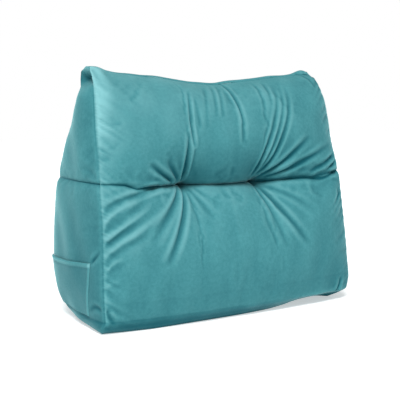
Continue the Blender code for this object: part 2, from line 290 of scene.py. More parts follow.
print("tufts:", [(row[0], row[1]) for row in TUFTS])

# %% [markdown]
# Folds run from each tuft like spokes, because the cloth there has more width than the pit can
# take. A fold is a crisp valley with the cloth pushed up in a soft lip on either side. Each one
# is a row of a table: a curve through three points, how deep it is, how wide it is at its start
# and at its end, and how much its two lips differ. A negative depth is a ridge. The coordinates a
# and b are x and z on the front, and y and z on a gusset. The rows are in millimetres.

# %% The fold field
FOLD_COLUMNS = ("a0", "b0", "a1", "b1", "a2", "b2", "depth", "width0", "width1")
FRONT_FOLDS = (
    (-136, 286, -169, 305, -195, 325, 8.5, 3.4, 5.5, 0.1),
    (-120, 289, -138, 308, -154, 330, 4.5, 3.4, 6, 0.1),
    (-106, 290, -108, 328, -106, 384, 11, 3.4, 4.4, -0.2),
    (-133, 278, -194, 278, -251, 283, 4.5, 3.6, 5, 0.0),
    (-172, 277, -229, 265, -298, 242, 7.5, 4, 6, -0.3),
    (-300, 212, -276, 236, -229, 257, -5, 4.2, 7, 0.3),
    (-300, 183, -263, 208, -196, 243, -5.6, 4.4, 7.5, 0.3),
    (-300, 156, -247, 194, -175, 235, -4.8, 4.6, 8, 0.3),
    (-261, 183, -225, 202, -172, 238, -3, 6, 7, 0.2),
    (-300, 124, -289, 138, -267, 150, -3.4, 3.8, 5.5, 0.2),
    (-300, 94, -292, 102, -274, 108, -2, 3.8, 5.5, 0.2),
    (-120, 268, -160, 229, -211, 174, 7.5, 3.6, 8, -0.2),
    (-106, 264, -142, 198, -180, 128, 9.2, 3.6, 6.6, -0.3),
    (-97, 264, -100, 234, -99, 200, 3.4, 3.6, 6.5, -0.2),
    (-91, 267, -82, 246, -64, 213, 3.8, 3.3, 6, 0.0),
    (-82, 268, -64, 254, -37, 235, 2.2, 3.6, 7, 0.0),
    (66, 290, 89, 356, 141, 474, 6, 3.4, 4.4, -0.1),
    (74, 290, 107, 360, 159, 482, 3, 3, 3.6, -0.1),
    (80, 291, 124, 363, 171, 474, 5.2, 3.2, 4.2, -0.1),
    (86, 282, 135, 318, 201, 368, 9, 3.4, 6, 0.1),
    (92, 279, 162, 306, 267, 348, 8, 3.4, 6, 0.1),
    (278, 322, 241, 305, 201, 289, 6, 4.4, 5.5, 0.1),
    (282, 307, 255, 293, 217, 284, 4.5, 4, 5, 0.1),
    (287, 286, 249, 283, 209, 276, 7, 4, 5.5, 0.1),
    (93, 273, 153, 280, 237, 272, 4.5, 3.6, 5.5, 0.0),
    (78, 260, 83, 219, 108, 138, 6, 3.6, 7, -0.3),
    (87, 259, 111, 216, 168, 139, 7.8, 3.6, 7, -0.3),
    (95, 263, 143, 242, 197, 202, 3.5, 4, 7, -0.2),
    (282, 245, 276, 230, 261, 212, 3, 4.4, 5.5, 0.0),
    (-96, 358, -97, 415, -82, 464, 5.2, 3.2, 3.4, -0.3),
    (-79, 394, -78, 423, -75, 453, 1.6, 3.2, 3.4, 0.0),
    (-30, 471, -52, 438, -63, 387, 1.4, 3.2, 3.6, 0.0),
    (-6, 473, -24, 447, -36, 413, 2.4, 3.2, 3.6, 0.0),
    (9, 473, -11, 443, -21, 411, 2.4, 3.2, 3.6, 0.0),
    (30, 477, 29, 443, 21, 353, 6.4, 3, 4, -0.5),
    (101, 480, 93, 446, 84, 405, 2.2, 3.2, 3.6, 0.0),
    (124, 480, 116, 455, 107, 420, 2.2, 3.2, 3.6, 0.0),
    (-273, 510, -270, 487, -261, 462, 4.5, 6, 9, 0.3),
    (237, 499, 255, 496, 261, 472, 3.6, 3, 3.8, -0.3),
    (264, 20, 269, 35, 270, 55, 6, 3.8, 4, 0.0),
    (-300, 50, -297, 38, -286, 15, 5, 3.4, 5, -0.3),
)
MM_PER_METRE = 1000
FOLD_STEPS = 20
FOLD_FADE = 0.6
FOLD_MOUTH = 0.35
FOLD_MOUTH_LENGTH = 0.12
VALLEY_SHARPNESS = 1.5
LIP_HEIGHT = 0.36
LIP_PLACE = 2.1


def curve_through(start, middle, end, steps):
    """The parabola through three points, as steps + 1 points."""
    t = np.linspace(0, 1, steps + 1)
    return 2*(t - 0.5)*(t - 1)*start + 4*t*(1 - t)*middle + 2*t*(t - 0.5)*end


def one_fold(a, b, row):
    """Depth at each point: a valley over the signed distance to the curve, less a lip each side."""
    *lengths, lean = row
    fold = dict(zip(FOLD_COLUMNS, np.array(lengths)/MM_PER_METRE))
    curve_a = curve_through(fold["a0"], fold["a1"], fold["a2"], FOLD_STEPS)
    curve_b = curve_through(fold["b0"], fold["b1"], fold["b2"], FOLD_STEPS)
    run_a, run_b = np.diff(curve_a), np.diff(curve_b)
    length = np.hypot(run_a, run_b)
    from_a, from_b = a[:, None] - curve_a[:-1], b[:, None] - curve_b[:-1]
    along = np.clip((from_a*run_a + from_b*run_b)/length**2, 0, 1)
    distance = np.hypot(from_a - along*run_a, from_b - along*run_b)
    nearest = distance.argmin(axis=1)
    every = np.arange(len(a))
    t = (nearest + along[every, nearest])/FOLD_STEPS
    side = np.sign((from_b*run_a - from_a*run_b)[every, nearest])
    q = side*distance[every, nearest]/(fold["width0"] + (fold["width1"] - fold["width0"])*t)
    fade = (1 - t)**FOLD_FADE*(FOLD_MOUTH + (1 - FOLD_MOUTH)*np.clip(t/FOLD_MOUTH_LENGTH, 0, 1))
    left_lip = (1 + lean)*np.exp(-(q - LIP_PLACE)**2)
    right_lip = (1 - lean)*np.exp(-(q + LIP_PLACE)**2)
    valley = np.exp(-np.abs(q)**VALLEY_SHARPNESS)
    return fold["depth"]*fade*(valley - LIP_HEIGHT*(left_lip + right_lip))


def fold_field(a, b, rows):
    """The sum of the folds of a table, over points with the coordinates a and b."""
    return sum(one_fold(a, b, row) for row in rows)


print("front folds:", len(FRONT_FOLDS))

# %% [markdown]
# The gussets bulge less than the front, and the crease pinches them at the same height. Near
# the top the cloth is folded in under each ear, which leaves a hollow. The right ear's rim stands
# up, the foot's corners aren't quite square, and the front's foot swings forward between them.
# Each of these is a soft bump added to the plain form. Moving points by hand could do it too, but
# one formula for the whole skin keeps its faces joined.

# %% Gussets and ears
GUSSET_BULGE = 0.015
GUSSET_STEEPNESS = 0.7
GUSSET_CREASE_CROWN = 0.6
GUSSET_FOLDS = (
    (-78, 139, -90, 150, -103, 164, 4, 3.6, 4, 0.3),
    (-74, 300, -50, 312, -20, 318, 2, 5, 8, 0.0),
    (-110, 48, -88, 52, -68, 40, 3, 4, 5, 0.0),
)
EAR_HOLLOW = 0.024
EAR_HOLLOW_HEIGHT = 0.491
EAR_HOLLOW_REACH = 0.017
EAR_LIP = 0.006
RIGHT_EAR_ROUNDING = 0.004
RIGHT_EAR_SPREAD = 0.005
RIGHT_EAR_RIM = 0.009
RIGHT_EAR_RIM_PLACE = 0.014
RIGHT_EAR_RIM_REACH = 0.022
RIGHT_EAR_RIM_STEEPNESS = 0.7
RIGHT_FOOT_TUCK = 0.012
FOOT_CORNER = 0.050
LEFT_FOOT_SPREAD = 0.020
LEFT_FOOT_FADE = 0.7
NEAR_EAR = 4
NEAR_FOOT_CORNER = 10
TOP_ROLL = 0.004
SEAM_MASK_FLOOR = 0.35
SEAM_MASK_REACH = 0.006


def gusset_bulge(deep, height):
    """How far a gusset stands out: two rolls and a lip at the ear, less a hollow and the crease."""
    ear = np.exp(-((height - EAR_HOLLOW_HEIGHT)/EAR_HOLLOW_REACH)**2)
    lip = EAR_LIP*rising(height, EAR_HOLLOW_HEIGHT, TOP_HEIGHT)
    between_seams = np.clip(1 - deep**2, 0, 1)**GUSSET_STEEPNESS
    line = GUSSET_LINE*crease_line(height)*(1 - deep)/2
    rolls = GUSSET_BULGE*kept(height, GUSSET_CREASE_CROWN)
    return between_seams*(rolls + lip - EAR_HOLLOW*ear) - line


def moved_corners(across, deep, height):
    """How far the right ear and the foot's two corners move to the right, and the ear upwards."""
    back_share = np.clip((deep + 1)/2, 0, 1)
    near = np.clip(across, 0, 1)
    in_ear = rising(height, EAR_HOLLOW_HEIGHT, TOP_HEIGHT)
    in_foot = (1 - rising(height, 0, FOOT_CORNER))*near**NEAR_FOOT_CORNER
    spread_out = RIGHT_EAR_SPREAD*back_share*in_ear
    rounded_off = RIGHT_EAR_ROUNDING*(1 - back_share)*in_ear**2
    to_right = (1 - across)*section(height, "half_width")
    rim = RIGHT_EAR_RIM*np.exp(-((to_right - RIGHT_EAR_RIM_PLACE)/RIGHT_EAR_RIM_REACH)**2)
    below_seam = 1 - rising(height, 0, FOOT_SEAM_HEIGHT)
    at_left = np.clip(-across, 0, 1)**NEAR_FOOT_CORNER*below_seam
    spread_left = LEFT_FOOT_SPREAD*at_left*(1 - back_share)**LEFT_FOOT_FADE
    moved_right = (spread_out - rounded_off)*near**NEAR_EAR - RIGHT_FOOT_TUCK*in_foot - spread_left
    moved_up = rim*in_ear*np.sin(np.pi/2*back_share)**RIGHT_EAR_RIM_STEEPNESS
    return moved_right, moved_up


def seam_mask(across, half):
    """How much of a fold is left near a side seam: a floor at the seam, all of it further in."""
    distance = (1 - np.abs(across))*half
    return SEAM_MASK_FLOOR + (1 - SEAM_MASK_FLOOR)*(1 - np.exp(-(distance/SEAM_MASK_REACH)**2))


def foot_edge(across, height):
    """How far the front's foot stands forward: the table's at the floor, nothing at the seam."""
    return curve_across(across, FOOT_EDGE)*(1 - rising(height, 0, FOOT_SEAM_HEIGHT))


def front_panel(across, height, fold_share=1.0):
    """Y of the front: its seam's, less the crown, plus the pits, the crease and the folds."""
    half = section(height, "half_width")
    x = across*half
    z = height - lowered(across, height)
    above_foot = rising(height, 0, FOOT_SEAM_HEIGHT)
    rise = np.abs(across)**CREASE_CROWN_RISE
    share = MIDDLE_CREASE_CROWN + (SIDE_CREASE_CROWN - MIDDLE_CREASE_CROWN)*rise
    above_crease = np.clip(height - CREASE_HEIGHT, 0, None)
    most = LOWER_CROWN + (UPPER_CROWN - LOWER_CROWN)*(1 - np.exp(-above_crease/CROWN_BLEND))
    crown = most*crown_across(across)*kept(height, share)
    creased = fold_share*fold_field(x, z, FRONT_FOLDS)*seam_mask(across, half)
    pulled_in = pits(x, z) + notch(x, height) + creased
    seam = section(height, "front_seam") - foot_edge(across, height)
    return seam + (pulled_in - crown)*above_foot


def back_panel(across, height):
    """Y of the back: its seam's, plus the crown, less a shallow dimple behind each tuft."""
    x = across*section(height, "half_width")
    z = height - lowered(across, height)
    above_foot = rising(height, 0, FOOT_SEAM_HEIGHT)
    crown = BACK_CROWN*crown_across(across)*kept(height, BACK_CREASE_CROWN)
    pulled_in = BACK_DIMPLE_SHARE*pits(x, z) + BACK_LINE*crease_line(height)
    return section(height, "back_seam") + (crown - pulled_in)*above_foot


print("gusset bulge in mm:", round(1000*GUSSET_BULGE))

# %% [markdown]
# The panels are worked out together, as the six faces of a box whose grid lines crowd towards
# the seams, the crease and the tufts. Every face is a grid of its own, and the points that two
# faces share are merged by their place in the box, so the skin closes with no gap. There are two
# such skins: a coarse one to simulate, and a fine one with each of its steps halved.

# %% The skin as the faces of a box
THIRD_COLUMNS = 31
LOWER_ROWS = 46
UPPER_ROWS = 37
DEEP_COLUMNS = 23
END_CROWDING = 0.5
BOX_FACE = 0.99999


def crowded(start, end, count):
    """Even steps blended with a cosine's, so that places lie closer near both ends."""
    t = np.linspace(0, 1, count + 1)
    t = (1 - END_CROWDING)*t + END_CROWDING*(1 - np.cos(np.pi*t))/2
    return start + (end - start)*t


def joined(stops, counts):
    """Crowded places over each gap between stops, with no stop twice."""
    runs = [crowded(a, b, n)[:-1] for a, b, n in zip(stops, stops[1:], counts)]
    return np.append(np.concatenate(runs), stops[-1])


def halved(places):
    """The same places with the middle of each gap between them."""
    both = np.stack([places[:-1], (places[:-1] + places[1:])/2], axis=1)
    return np.append(both.ravel(), places[-1])


def box_face(lines, fixed, end):
    """The grid of one face: the points with the fixed axis at end, their quads and its numbers."""
    first, second = [axis for axis in range(3) if axis != fixed]
    a, b = np.meshgrid(lines[first], lines[second], indexing="ij")
    points = np.full((a.size, 3), float(end))
    points[:, first] = a.ravel()
    points[:, second] = b.ravel()
    corner = np.arange(a.size).reshape(a.shape)
    around = [corner[:-1, :-1], corner[1:, :-1], corner[1:, 1:], corner[:-1, 1:]]
    quads = np.stack([part.ravel() for part in around], axis=1)
    faces_out = (end > 0) != (fixed == 1)
    return points, quads if faces_out else quads[:, ::-1], corner


def box_skin(lines):
    """All six faces as one skin: its points, its quads and each face's grid of point numbers."""
    points, quads, grids = [], [], []
    for fixed in range(3):
        for end in (-1, 1):
            face_points, face_quads, corner = box_face(lines, fixed, end)
            before = sum(map(len, points))
            quads.append(face_quads + before)
            grids.append(corner + before)
            points.append(face_points)
    key = np.round(np.concatenate(points), 7)
    merged, place = np.unique(key, axis=0, return_inverse=True)
    place = place.ravel()
    return merged, place[np.concatenate(quads)], [place[grid] for grid in grids]


tuft_stops = [row[0]/float(section(row[1], "half_width")) for row in TUFTS]
coarse_lines = (
    joined([-1, *tuft_stops, 1], [THIRD_COLUMNS]*3),
    crowded(-1, 1, DEEP_COLUMNS),
    joined([-1, 2*CREASE_HEIGHT/TOP_HEIGHT - 1, 1], [LOWER_ROWS, UPPER_ROWS]),
)
coarse_box, coarse_quads, coarse_grids = box_skin(coarse_lines)
box_points, skin_quads, skin_grids = box_skin([halved(places) for places in coarse_lines])
print("coarse skin:", len(coarse_quads), "quads; fine skin:", len(skin_quads), "quads")

# %% [markdown]
# Now each point of the box is carried to the cushion. What lies between the front and the back
# is a straight mix of the two, so the base stays flat and the top closes over a soft ridge.

# %% Carrying the box to the cushion
GUSSET_FOLD_ENDS = 8


def cushion_surface(box, fold_share=1.0):
    """The place on the cushion of each point of a box, whose sides run from -1 to 1."""
    across, deep, up = box.T
    height = TOP_HEIGHT*(up + 1)/2
    front = front_panel(across, height, fold_share)
    back = back_panel(across, height)
    on_gusset = np.abs(across) > BOX_FACE
    on_top = up > BOX_FACE
    y = front + (back - front)*(deep + 1)/2
    bulge = gusset_bulge(deep, height)
    left = on_gusset & (across < 0)
    inside = np.clip(1 - deep[left]**GUSSET_FOLD_ENDS, 0, 1)
    bulge[left] -= fold_field(y[left], height[left], GUSSET_FOLDS)*inside
    top = np.where(on_top, TOP_ROLL*(1 - deep**2)*crown_across(across), 0)
    x = across*section(height, "half_width") + np.where(on_gusset, np.sign(across)*bulge, 0)
    moved_right, moved_up = moved_corners(across, deep, height)
    z = height - lowered(across, height) + top + moved_up
    return np.stack([x + moved_right, y, z], axis=1)


def read_box(box):
    """What later steps ask of a box's points: heights, distances to seams, and which panel."""
    across, deep, up = box.T
    height = TOP_HEIGHT*(up + 1)/2
    half = section(height, "half_width")
    thick = section(height, "back_seam") - section(height, "front_seam")
    on_gusset = np.abs(across) > BOX_FACE
    to_side = (1 - np.abs(across))*half
    return SimpleNamespace(
        across=across, deep=deep, height=height, half=half, on_gusset=on_gusset,
        on_front=deep < -BOX_FACE, on_back=deep > BOX_FACE, on_top=up > BOX_FACE,
        on_base=up < -BOX_FACE, to_side=to_side,
        to_seam=np.where(on_gusset, (1 - np.abs(deep))/2*thick, to_side),
        above_foot=rising(height, 0, FOOT_SEAM_HEIGHT),
    )


plain_skin = cushion_surface(box_points)
print("skin carried; its height in mm:", round(1000*float(np.ptp(plain_skin[:, 2]))))

# %% [markdown]
# Blender gets the points and quads as whole arrays. That is far quicker than a loop of
# new vertices, and it keeps the shape's own formulas in one place.

# %% Putting arrays into a mesh


def make_piece(name, points, quads):
    """A smooth-shaded object at the origin, from arrays of points and quads."""
    mesh = bpy.data.meshes.new(name)
    mesh.vertices.add(len(points))
    mesh.vertices.foreach_set("co", points.astype(np.float32).ravel())
    mesh.loops.add(quads.size)
    mesh.loops.foreach_set("vertex_index", quads.astype(np.int32).ravel())
    mesh.polygons.add(len(quads))
    starts = np.arange(0, quads.size, quads.shape[1], dtype=np.int32)
    mesh.polygons.foreach_set("loop_start", starts)
    mesh.update(calc_edges=True)
    mesh.validate()
    mesh.shade_smooth()
    piece = bpy.data.objects.new(name, mesh)
    bpy.context.scene.collection.objects.link(piece)
    return piece


def points_of(mesh):
    """A mesh's points as an array."""
    places = np.empty(len(mesh.vertices)*3, np.float32)
    mesh.vertices.foreach_get("co", places)
    return places.reshape(-1, 3).astype(float)


print("meshes so far:", len(bpy.data.meshes))

# %% [markdown]
# The formulas give a smooth, tight form. Real cloth is cut a little too large for it and buckles
# where it is held. So the coarse skin is simulated: the tufts, the crease, the seams and the
# base hold it, the cloth between is a few per cent too large, and air pressure fills it. How far
# a point may move is capped. The finer skin then takes up the same moves, by a cubic rule.

# %% Filling the cushion
CLOTH_SETTINGS = {
    "quality": 6,
    "vertex_group_mass": "held",
    "tension_stiffness": 15.0,
    "compression_stiffness": 15.0,
    "bending_stiffness": 0.2,
    "shrink_min": -0.018,
    "use_pressure": True,
    "uniform_pressure_force": 4.0,
}
CLOTH_FRAMES = 20
CLOTH_FOLDS = 0.5
MOST_MOVE = 0.009
TUFT_HOLD = 0.010
SEAM_HOLD = 0.9
CREASE_HOLD = 0.0001


def held_shares(box, points):
    """How firmly each point is held, from 0 to 1: tufts, crease and base fully, seams nearly."""
    at = read_box(box)
    on_front_or_back = at.on_front | at.on_back
    tufted = (from_tufts(points) < TUFT_HOLD) & at.on_front
    creased = np.abs(at.height - CREASE_HEIGHT) < CREASE_HOLD
    held = np.where(at.on_gusset & on_front_or_back, SEAM_HOLD, 0.0)
    held[at.on_top & (on_front_or_back | at.on_gusset)] = SEAM_HOLD
    held[creased | tufted | (at.height < FOOT_SEAM_HEIGHT)] = 1.0
    return held


def filled(points, quads, held):
    """Where the cloth goes when it is held, grown and blown up."""
    blank = make_piece("blank", points, quads)
    pins = blank.vertex_groups.new(name="held")
    for share in np.unique(held[held > 0]):
        pins.add(np.flatnonzero(held == share).tolist(), float(share), "REPLACE")
    cloth = blank.modifiers.new("filling", "CLOTH")
    for name, setting in CLOTH_SETTINGS.items():
        setattr(cloth.settings, name, setting)
    cloth.settings.effector_weights.gravity = 0.0
    cloth.collision_settings.use_collision = False
    cloth.point_cache.frame_start = 1
    cloth.point_cache.frame_end = CLOTH_FRAMES
    for frame_number in range(1, CLOTH_FRAMES + 1):
        bpy.context.scene.frame_set(frame_number)
    graph = bpy.context.evaluated_depsgraph_get()
    moved = points_of(blank.evaluated_get(graph).data)
    bpy.data.objects.remove(blank, do_unlink=True)
    bpy.context.scene.frame_set(1)
    return moved


def halve_gaps(values):
    """Values at the middles of the gaps along the first axis, by the cubic through four rows."""
    inner = (9*(values[1:-2] + values[2:-1]) - values[:-3] - values[3:])/16
    first = (3*values[:1] + 6*values[1:2] - values[2:3])/8
    last = (3*values[-1:] + 6*values[-2:-1] - values[-3:-2])/8
    middles = np.concatenate([first, inner, last])
    both = np.stack([values[:-1], middles], axis=1).reshape(-1, *values.shape[1:])
    return np.concatenate([both, values[-1:]])


def on_fine_skin(values):
    """Values at the coarse skin's points, carried to the fine skin's, face by face."""
    fine = np.zeros((len(box_points), values.shape[1]))
    for coarse_grid, fine_grid in zip(coarse_grids, skin_grids):
        rows = halve_gaps(values[coarse_grid])
        fine[fine_grid] = halve_gaps(rows.swapaxes(0, 1)).swapaxes(0, 1)
    return fine


# How much of the moves is taken away at each place, and how far from it that reaches.
CALM = {
    "pocket": (0.80, 0.060),
    "crease": (0.80, 0.022),
    "seam": (0.55, 0.014),
    "ear": (0.90, 0.030),
    "gusset": (0.80, 0.001),
    "front": (0.45, 0.001),
    "foot": (0.90, 0.120),
    "top": (0.80, 0.035),
}
POCKET_TOP = 0.140
EAR_FOOT = 0.480
TINY = 1e-9


def calmed(box):
    """The share of the moves that is kept: less under the pocket, at the seams and in the ears."""
    at = read_box(box)
    on_left = at.on_gusset & (at.across < 0)
    away = {
        "pocket": np.where(on_left, np.clip(at.height - POCKET_TOP, 0, None), 1.0),
        "crease": np.where(at.on_gusset, 1.0, np.abs(at.height - CREASE_HEIGHT)),
        "seam": at.to_seam,
        "ear": np.where(at.on_gusset | at.on_top, np.clip(EAR_FOOT - at.height, 0, None), 1.0),
        "gusset": np.where(at.on_gusset, 0.0, 1.0),
        "front": np.where(at.on_front, 0.0, 1.0),
        "foot": np.clip(at.height - FOOT_SEAM_HEIGHT, 0, None),
        "top": TOP_HEIGHT - at.height,
    }
    share = np.ones(len(box))
    for place, (hold, reach) in CALM.items():
        share *= 1 - hold*np.exp(-(away[place]/reach)**2)
    return share


coarse_points = cushion_surface(coarse_box, CLOTH_FOLDS)
filling_moves = filled(coarse_points, coarse_quads, held_shares(coarse_box, coarse_points))
filling_moves = filling_moves - coarse_points
length = np.linalg.norm(filling_moves, axis=1)[:, None]
filling_moves = filling_moves*np.minimum(1, MOST_MOVE/np.maximum(length, TINY))
filling_moves = filling_moves*calmed(coarse_box)[:, None]
plain_skin = plain_skin + on_fine_skin(filling_moves)
print("the filling moved the cloth by up to", round(1000*float(length.max()), 1), "mm, and by",
      round(1000*float(length.mean()), 1), "mm in the mean")

# %% [markdown]
# Sewing leaves finer marks, and they stand square to the cloth wherever it faces. Each seam lies
# in a shallow groove. The thread gathers the cloth beside it into short slanting dips, and the
# filling makes the panels a little lumpy. These are moves along the surface's own directions.

# %% Seam grooves, puckers and lumps
GROOVE_DEPTH = 0.0009
GROOVE_HALF_WIDTH = 0.0022
PUCKER_DEPTH = 0.0016
PUCKER_REACH = 0.008
PUCKER_PITCH = 0.021
PUCKER_SLANT = 0.60
PUCKER_ON_GUSSET = 0.15
PUCKER_AT_FOOT = 0.12
GROOVE_AT_FOOT = 0.5
# Sines that make the pinches uneven: how much, over what length, and how far the seed turns each.
WOBBLES = {
    "slow drift": (0.35, 0.021, 1.0),
    "quick drift": (0.25, 0.0093, 2.3),
    "strength": (0.4, 0.047, 1.7),
    "reach": (0.6, 0.031, 3.1),
}
MEAN_STRENGTH = 0.6
MEAN_REACH = 1.1
LUMP_HEIGHT = 0.0011
LUMP_LENGTHS = (0.055, 0.120)
LUMP_WAVES = 14
rng = np.random.default_rng(7)


def point_normals(points, quads):
    """The outward direction at each point, from the crossed diagonals of the quads round it."""
    a, b, c, d = (points[quads[:, k]] for k in range(4))
    facing = np.cross(c - a, d - b)
    total = np.zeros_like(points)
    for k in range(4):
        np.add.at(total, quads[:, k], facing)
    return total/np.maximum(np.linalg.norm(total, axis=1), TINY)[:, None]


def waves(points, count, lengths):
    """A smooth random field from -1 to 1: the mean of sines in random directions."""
    direction = rng.normal(size=(count, 3))
    direction = direction/np.linalg.norm(direction, axis=1)[:, None]
    pace = 2*np.pi/rng.uniform(*lengths, size=count)
    start = rng.uniform(0, 2*np.pi, size=count)
    return np.sin(points @ direction.T*pace + start).sum(axis=1)/np.sqrt(count)


def wobble(name, along, seed):
    """One of the sines that make the pinches uneven."""
    share, length, turn = WOBBLES[name]
    return share*np.sin(along/length + turn*seed)


def pinches(along, away, seed):
    """Soft dips at uneven places along a seam, slanting, deepest a little way in from it."""
    slanted = along + PUCKER_SLANT*away
    drift = wobble("slow drift", slanted, seed) + wobble("quick drift", slanted, seed)
    strength = MEAN_STRENGTH + wobble("strength", slanted, seed)
    dips = np.cos(np.pi*slanted/PUCKER_PITCH + 2*drift)**2
    reach = PUCKER_REACH*(MEAN_REACH + wobble("reach", slanted, seed))
    return strength*dips*away/reach*np.exp(1 - away/reach)


def sewn_relief(box, points):
    """How far each point moves out: the lumps, less the grooves and the pinches."""
    at = read_box(box)
    on_either = at.on_front | at.on_back
    seam = np.where(at.on_base & ~at.on_gusset, 1.0, at.to_seam)
    foot = np.where(on_either, np.abs(at.height - FOOT_SEAM_HEIGHT), 1.0)
    groove = np.exp(-(seam/GROOVE_HALF_WIDTH)**2)
    groove = np.maximum(groove, GROOVE_AT_FOOT*np.exp(-(foot/GROOVE_HALF_WIDTH)**2))
    beside = pinches(at.height, at.to_side, 1.0 + np.sign(at.across))
    on_gusset = PUCKER_ON_GUSSET*pinches(at.height, seam, 2.0 + np.sign(at.deep))
    at_foot = PUCKER_AT_FOOT*pinches(at.across*at.half, foot, 4.0)
    pucker = np.where(on_either, beside, 0) + np.where(at.on_gusset, on_gusset, 0)
    pucker = pucker + np.where(at.on_front, at_foot, 0)
    lump = LUMP_HEIGHT*waves(points, LUMP_WAVES, LUMP_LENGTHS)
    return at.above_foot*(lump - GROOVE_DEPTH*groove - PUCKER_DEPTH*pucker)


relief = sewn_relief(box_points, plain_skin)
plain_skin = plain_skin + relief[:, None]*point_normals(plain_skin, skin_quads)
half_way = (plain_skin.min(axis=0) + plain_skin.max(axis=0))/2
shift = (np.array(body_low) + np.array(body_high))/2 - half_way
shift[2] = 0.0
print("shift onto the frame in mm:", np.round(1000*shift, 2))

# %% [markdown]
# The skin becomes one closed piece that stands where the plain solid stood.
# Light and shade are also painted into its colour, as a few numbers a point rather than a picture.
# The first is the painted light: a fold's back is painted paler than its valley, and a table paints
# highlight or shade onto whole places. The others place the pinches beside the seams.

# %% The cushion
TURN_ROUNDS = 7
TURN_DEPTH = 0.0016
# How much painted highlight (above 0) or painted shade (below 0) each place gets, and how far
# that reaches: highlight at the left seam, the left rim, the upper left and the ears; shade on the
# gussets, at the foot and the floor, low on the front, on the right, in the belly, tufts and
# crease.
PAINTED_SHADING = {
    "left seam": (0.30, 0.009),
    "left rim": (1.15, 0.022),
    "gusset": (-0.34, None),
    "low gusset": (-0.45, 0.230),
    "foot": (-0.95, 0.002),
    "floor": (-0.40, 0.006),
    "low front": (-0.42, 0.150),
    "upper left": (0.24, None),
    "right": (-0.44, None),
    "right seam": (-0.45, 0.012),
    "ear": (0.40, 0.008),
    "belly": (-0.95, 0.072),
    "tuft": (-1.00, 0.011),
    "crease": (-0.45, 0.0035),
}
LOW_GUSSET_FLATNESS = 4
FOOT_ON_GUSSET = 0.5
RIM_SOFTNESS = 0.0055
RIM_FOOT = 0.345
RIM_FULL = 0.395
STREAK_REACH = 0.016
STREAK_ON_GUSSET = 0.25


def spread(values, quads, rounds):
    """Each point's value, averaged with its neighbours' a number of times."""
    place = quads.ravel()
    beside = np.bincount(place, minlength=len(values))
    for _ in range(rounds):
        means = np.repeat(values[quads].mean(axis=1), quads.shape[1], axis=0)
        sums = [np.bincount(place, column, len(values)) for column in means.T]
        values = np.stack(sums, axis=1)/beside[:, None]
    return values


def turned(points, quads):
    """Painted light, -1 in a fold's valley to 1 on its back: how far the local mean lies inside."""
    off_mean = points - spread(points, quads, TURN_ROUNDS)
    outside = (off_mean*point_normals(points, quads)).sum(axis=1)
    return np.tanh(outside/TURN_DEPTH)


def soft_step(distance, end, softness):
    """1 nearer than end and 0 further, with a soft edge."""
    return 1/(1 + np.exp((distance - end)/softness))


def painted_shading(box, points):
    """Painted light and shade: the sum, over the table's places, of each strength times nearness.
    """
    at = read_box(box)
    reach = {place: row[1] for place, row in PAINTED_SHADING.items()}
    to_left, to_right = np.clip(-at.across, 0, 1), np.clip(at.across, 0, 1)
    on_foot = soft_step(at.height, FOOT_SEAM_HEIGHT, reach["foot"])
    from_left, from_right = (1 + at.across)*at.half, (1 - at.across)*at.half
    full = rising(at.height, RIM_FOOT, RIM_FULL)
    above_crease = at.height - CREASE_HEIGHT
    low = np.exp(-(at.height/reach["low gusset"])**LOW_GUSSET_FLATNESS)
    on_belly = (above_crease > 0)*(1 - at.across**2)*np.exp(-(above_crease/reach["belly"])**2)
    near = {
        "left seam": at.on_front*np.exp(-from_left/reach["left seam"]),
        "left rim": at.on_front*full*soft_step(from_left, reach["left rim"], RIM_SOFTNESS),
        "gusset": at.on_gusset*1.0,
        "low gusset": at.on_gusset*low,
        "foot": on_foot*np.where(at.on_gusset, FOOT_ON_GUSSET, 1.0),
        "floor": np.exp(-at.height/reach["floor"]),
        "low front": at.on_front*np.exp(-(at.height/reach["low front"])**2),
        "upper left": at.on_front*to_left*at.height/TOP_HEIGHT,
        "right": at.on_front*to_right**2,
        "right seam": at.on_front*np.exp(-from_right/reach["right seam"]),
        "ear": at.on_gusset*np.exp(-((TOP_HEIGHT - at.height)/reach["ear"])**2),
        "belly": at.on_front*on_belly,
        "tuft": at.on_front*np.exp(-(from_tufts(points)/reach["tuft"])**2),
        "crease": np.exp(-np.abs(above_crease)/reach["crease"]),
    }
    return sum(PAINTED_SHADING[place][0]*share for place, share in near.items())


def add_shade(piece, name, values):
    """Keeps one number a point on a piece, for its material to read."""
    layer = piece.data.attributes.new(name, "FLOAT", "POINT")
    layer.data.foreach_set("value", values.astype(np.float32))


def seam_places(box):
    """For each point, how far up it is, how far from a side seam, and how strongly pinched."""
    at = read_box(box)
    inside = at.on_gusset & ~(at.on_front | at.on_back)
    share = np.where(inside, STREAK_ON_GUSSET, 1.0)
    return at.height, at.to_seam, share*np.exp(-at.to_seam/STREAK_REACH)*at.above_foot


finished_skin = plain_skin + shift
cushion = make_piece("velvet_cushion", finished_skin, skin_quads)
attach(cushion, "root")
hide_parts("cushion")
# Painted light: highlight on the folds' backs and the bright places, shade in the valleys and dark
# places.
add_shade(cushion, "painted_light", turned(finished_skin, skin_quads) + painted_shading(box_points, plain_skin))
# Where the pinches' painted streaks of light and shade lie beside the seams.
for name, values in zip(("up_seam", "off_seam", "pinch"), seam_places(box_points)):
    add_shade(cushion, name, values)
print("cushion:", len(cushion.data.polygons), "quads")

# %% [markdown]
# The patch pocket is one sheet of the same velvet. Its mouth has a turned hem of double cloth,
# and its front edge is folded in and stitched, so both are thicker. It could be a plane with a
# thickness modifier, but then the hem would need a piece of its own. Here it is a flat box like
# the cushion's, whose outer face lies further out where the cloth is double.

